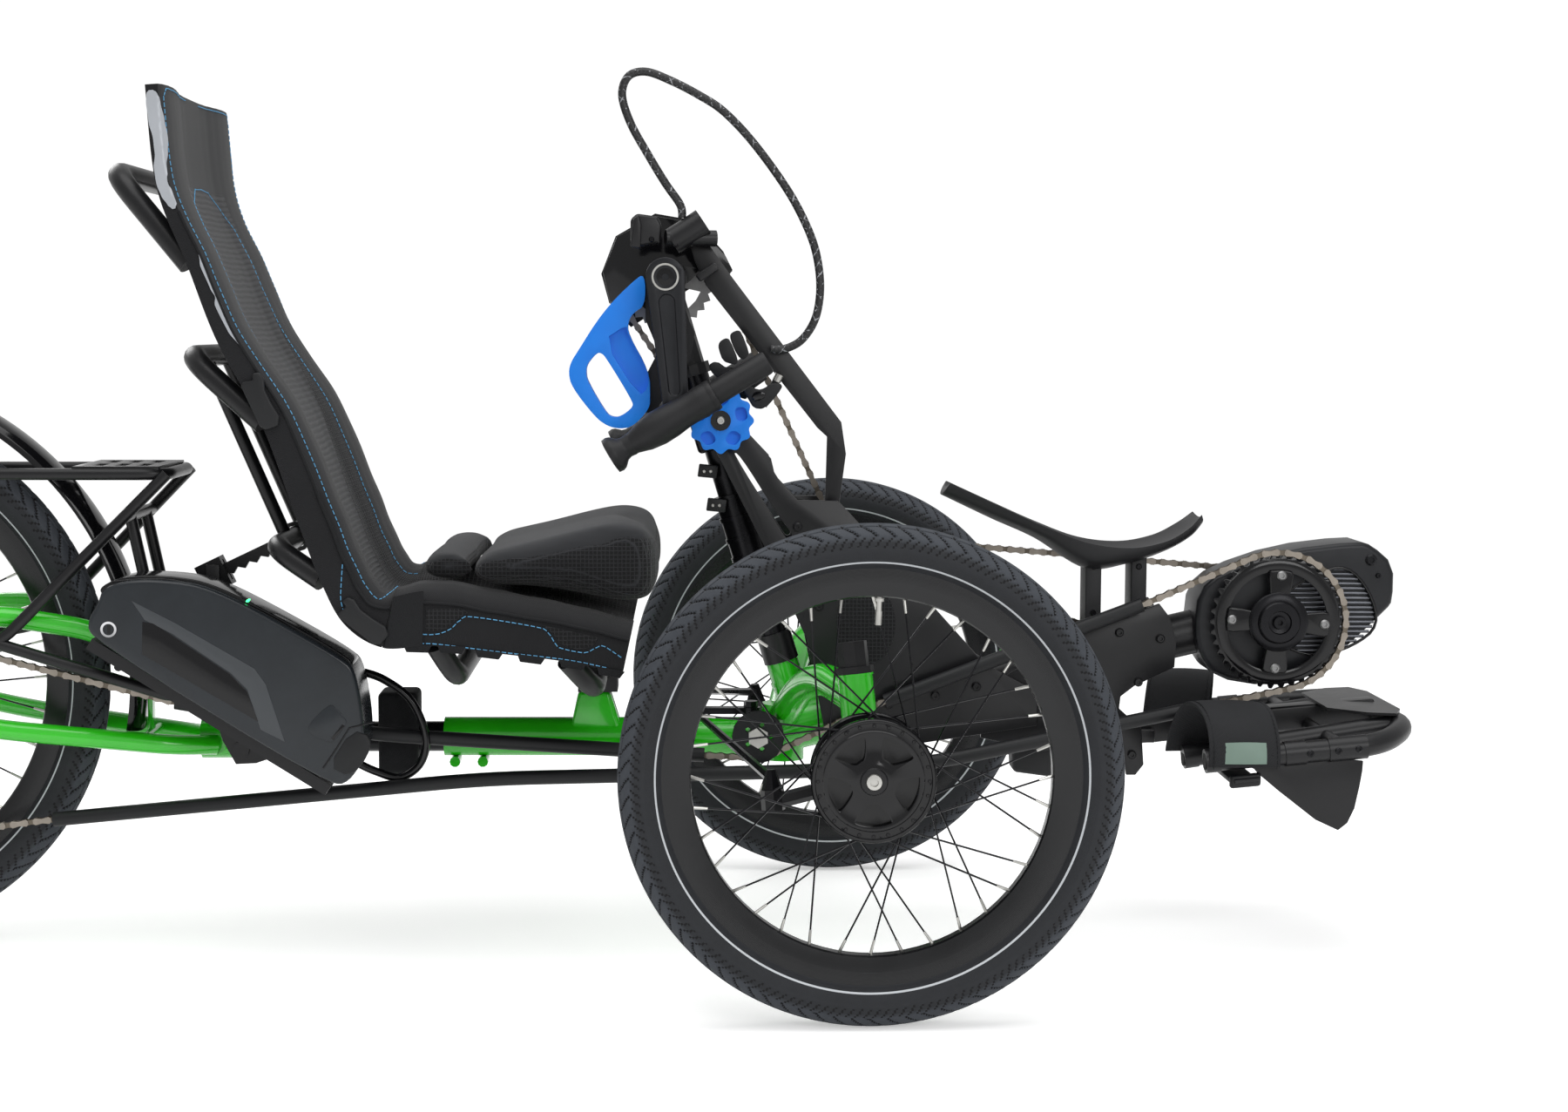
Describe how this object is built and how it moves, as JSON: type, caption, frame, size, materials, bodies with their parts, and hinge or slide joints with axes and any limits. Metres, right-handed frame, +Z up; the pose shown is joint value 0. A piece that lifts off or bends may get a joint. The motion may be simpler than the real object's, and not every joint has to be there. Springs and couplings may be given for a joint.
{
  "type": "recumbent handcycle",
  "caption": "Three-wheeled recumbent cycle turned by hand cranks, with a strap seat, motor drive, steered front wheels and a rear luggage rack.",
  "frame": {"origin": "centre of the bounding box at ground level", "axes": "+X forward (direction of travel), +Y to the rider's left, +Z up"},
  "size_m": [2.0792, 0.81, 0.9689],
  "materials": {
    "green_paint": "gloss bright green",
    "black_paint": "satin black",
    "blue_plastic": "satin blue",
    "tyre_rubber": "matt black",
    "black_fabric": "matt black weave",
    "grip_rubber": "matt black",
    "steel": "bright",
    "chrome": "polished",
    "black_plastic": "matt black",
    "grey_plastic": "satin dark grey",
    "guard_plastic": "gloss black",
    "wheel_alloy": "black anodised"
  },
  "bodies": {
    "frame": {"main_frame": "green_paint", "main_inner_tube": "black_paint", "rear_frame": "green_paint", "mudguard": "guard_plastic", "rear_rack": "black_paint", "battery_case": "grey_plastic", "battery_mount": "black_paint", "cable_box": "black_plastic", "seat_mount": "black_paint", "front_boom": "black_paint", "tower_plate_right": "black_paint", "tower_plate_left": "black_paint", "steering_column": "black_paint", "control_bar": "black_paint", "cable_bundle": "grip_rubber", "motor_case": "black_paint", "idler_bolt": "steel", "derailleur": "black_paint", "drive_chain": "steel", "hand_chain": "steel", "front_chain": "steel", "upper_chain_tube_front": "black_plastic", "upper_chain_tube_rear": "black_plastic", "return_chain_tube": "black_plastic", "foot_frame": "black_paint", "calf_rest": "black_plastic", "foot_strap_right": "black_fabric", "foot_strap_left": "black_fabric"},
    "seat": {"seat_frame": "black_paint", "seat_back_cover": "black_fabric", "seat_base_cover": "black_fabric", "seat_cushion": "black_fabric"},
    "strut": {"recline_strut": "black_paint"},
    "clamp": {"strut_clamp": "black_paint"},
    "lock": {"battery_lock": "chrome"},
    "head": {"crank_housing": "black_paint", "lift_handle": "blue_plastic"},
    "cranks": {"crank_arm_right": "black_paint", "crank_arm_left": "black_paint", "hand_chainring": "black_paint"},
    "grip_right": {"hand_grip_right": "grip_rubber"},
    "grip_left": {"hand_grip_left": "grip_rubber"},
    "knob": {"column_knob": "blue_plastic"},
    "jack": {"jackshaft": "steel"},
    "motor_ring": {"motor_chainring": "black_paint"},
    "idler": {"power_idler": "black_paint"},
    "sprockets": {"cassette": "steel"},
    "jockey_upper": {"jockey_wheel_upper": "black_plastic"},
    "jockey_lower": {"jockey_wheel_lower": "black_plastic"},
    "bell": {"bell_crank": "black_paint"},
    "knuckle_right": {"steering_knuckle_right": "black_paint"},
    "knuckle_left": {"steering_knuckle_left": "black_paint"},
    "rod_right": {"tie_rod_right": "black_paint"},
    "rod_left": {"tie_rod_left": "black_paint"},
    "rear_wheel": {"rear_wheel": "wheel_alloy", "rear_tyre": "tyre_rubber"},
    "front_wheel_right": {"front_wheel_right": "wheel_alloy", "front_tyre_right": "tyre_rubber"},
    "front_wheel_left": {"front_wheel_left": "wheel_alloy", "front_tyre_left": "tyre_rubber"}
  },
  "joints": [
    {"name": "column_steer", "type": "hinge", "parent": "frame", "child": "head", "pos_m": [0.22136, 0, 0.743], "axis": [-0.2907, 0, 0.9568], "range_deg": [-12, 12], "deforming": ["hand_chain"]},
    {"name": "crank_spin", "type": "hinge", "parent": "head", "child": "cranks", "pos_m": [0.22136, 0, 0.743], "axis": [0, 1, 0], "continuous": true},
    {"name": "grip_right_spin", "type": "hinge", "parent": "cranks", "child": "grip_right", "pos_m": [0.23334, -0.118, 0.59401], "axis": [0, 1, 0], "continuous": true},
    {"name": "grip_left_spin", "type": "hinge", "parent": "cranks", "child": "grip_left", "pos_m": [0.23334, 0.118, 0.59401], "axis": [0, 1, 0], "continuous": true},
    {"name": "knob_turn", "type": "hinge", "parent": "frame", "child": "knob", "pos_m": [0.28136, -0.055, 0.588], "axis": [0, 1, 0], "continuous": true},
    {"name": "jackshaft_spin", "type": "hinge", "parent": "frame", "child": "jack", "pos_m": [0.39836, 0, 0.428], "axis": [0, 1, 0], "continuous": true},
    {"name": "motor_ring_spin", "type": "hinge", "parent": "frame", "child": "motor_ring", "pos_m": [0.89936, 0, 0.366], "axis": [0, 1, 0], "continuous": true},
    {"name": "idler_spin", "type": "hinge", "parent": "frame", "child": "idler", "pos_m": [0.32336, -0.054, 0.238], "axis": [0, 1, 0], "continuous": true},
    {"name": "cassette_spin", "type": "hinge", "parent": "frame", "child": "sprockets", "pos_m": [-0.69764, -0.05, 0.3], "axis": [0, 1, 0], "continuous": true},
    {"name": "upper_jockey_spin", "type": "hinge", "parent": "frame", "child": "jockey_upper", "pos_m": [-0.66964, -0.05, 0.203], "axis": [0, 1, 0], "continuous": true},
    {"name": "lower_jockey_spin", "type": "hinge", "parent": "frame", "child": "jockey_lower", "pos_m": [-0.67964, -0.05, 0.14], "axis": [0, 1, 0], "continuous": true},
    {"name": "bell_crank_turn", "type": "hinge", "parent": "frame", "child": "bell", "pos_m": [0.31636, 0, 0.2563], "axis": [0, 0, 1], "range_deg": [-23, 23]},
    {"name": "rear_wheel_spin", "type": "hinge", "parent": "frame", "child": "rear_wheel", "pos_m": [-0.69764, 0, 0.3], "axis": [0, 1, 0], "continuous": true},
    {"name": "seat_recline", "type": "hinge", "parent": "frame", "child": "seat", "pos_m": [0.14536, 0, 0.306], "axis": [0, 1, 0], "range_deg": [-4, 4]},
    {"name": "strut_turn", "type": "hinge", "parent": "seat", "child": "strut", "pos_m": [-0.18964, 0, 0.456], "axis": [0, 1, 0], "range_deg": [-14, 14]},
    {"name": "strut_clamp_turn", "type": "hinge", "parent": "frame", "child": "clamp", "pos_m": [-0.27964, 0, 0.413], "axis": [0, 1, 0], "range_deg": [-10, 10]},
    {"name": "lock_turn", "type": "hinge", "parent": "frame", "child": "lock", "pos_m": [-0.36536, -0.1455, 0.36948], "axis": [0, 1, 0], "range_deg": [0, 90]},
    {"name": "kingpin_right", "type": "hinge", "parent": "frame", "child": "knuckle_right", "pos_m": [0.42336, -0.312, 0.25], "axis": [-0.104, 0.104, 0.9891], "range_deg": [-18, 18]},
    {"name": "tie_rod_right_turn", "type": "hinge", "parent": "knuckle_right", "child": "rod_right", "pos_m": [0.33036, -0.312, 0.226], "axis": [-0.0665, 0.0826, 0.9944], "range_deg": [-18, 18]},
    {"name": "front_wheel_right_spin", "type": "hinge", "parent": "knuckle_right", "child": "front_wheel_right", "pos_m": [0.42636, -0.375, 0.25], "axis": [0, 1, 0], "continuous": true},
    {"name": "kingpin_left", "type": "hinge", "parent": "frame", "child": "knuckle_left", "pos_m": [0.42336, 0.312, 0.25], "axis": [-0.104, -0.104, 0.9891], "range_deg": [-18, 18]},
    {"name": "tie_rod_left_turn", "type": "hinge", "parent": "knuckle_left", "child": "rod_left", "pos_m": [0.33036, 0.312, 0.226], "axis": [-0.0665, -0.0826, 0.9944], "range_deg": [-18, 18]},
    {"name": "front_wheel_left_spin", "type": "hinge", "parent": "knuckle_left", "child": "front_wheel_left", "pos_m": [0.42636, 0.375, 0.25], "axis": [0, 1, 0], "continuous": true}
  ],
  "couplings": [
    {"joint": "jackshaft_spin", "follows": "crank_spin", "ratio": 2.1538},
    {"joint": "motor_ring_spin", "follows": "crank_spin", "ratio": 1.2174},
    {"joint": "idler_spin", "follows": "crank_spin", "ratio": -3.8961},
    {"joint": "cassette_spin", "follows": "crank_spin", "ratio": 1.285},
    {"joint": "upper_jockey_spin", "follows": "crank_spin", "ratio": -4.2055},
    {"joint": "lower_jockey_spin", "follows": "crank_spin", "ratio": 4.2055},
    {"joint": "bell_crank_turn", "follows": "column_steer", "ratio": 1.815},
    {"joint": "strut_turn", "follows": "seat_recline", "ratio": -3.45},
    {"joint": "strut_clamp_turn", "follows": "seat_recline", "ratio": -2.45},
    {"joint": "kingpin_right", "follows": "column_steer", "ratio": 1.5},
    {"joint": "tie_rod_right_turn", "follows": "column_steer", "ratio": -1.5},
    {"joint": "kingpin_left", "follows": "column_steer", "ratio": 1.5},
    {"joint": "tie_rod_left_turn", "follows": "column_steer", "ratio": -1.5}
  ]
}
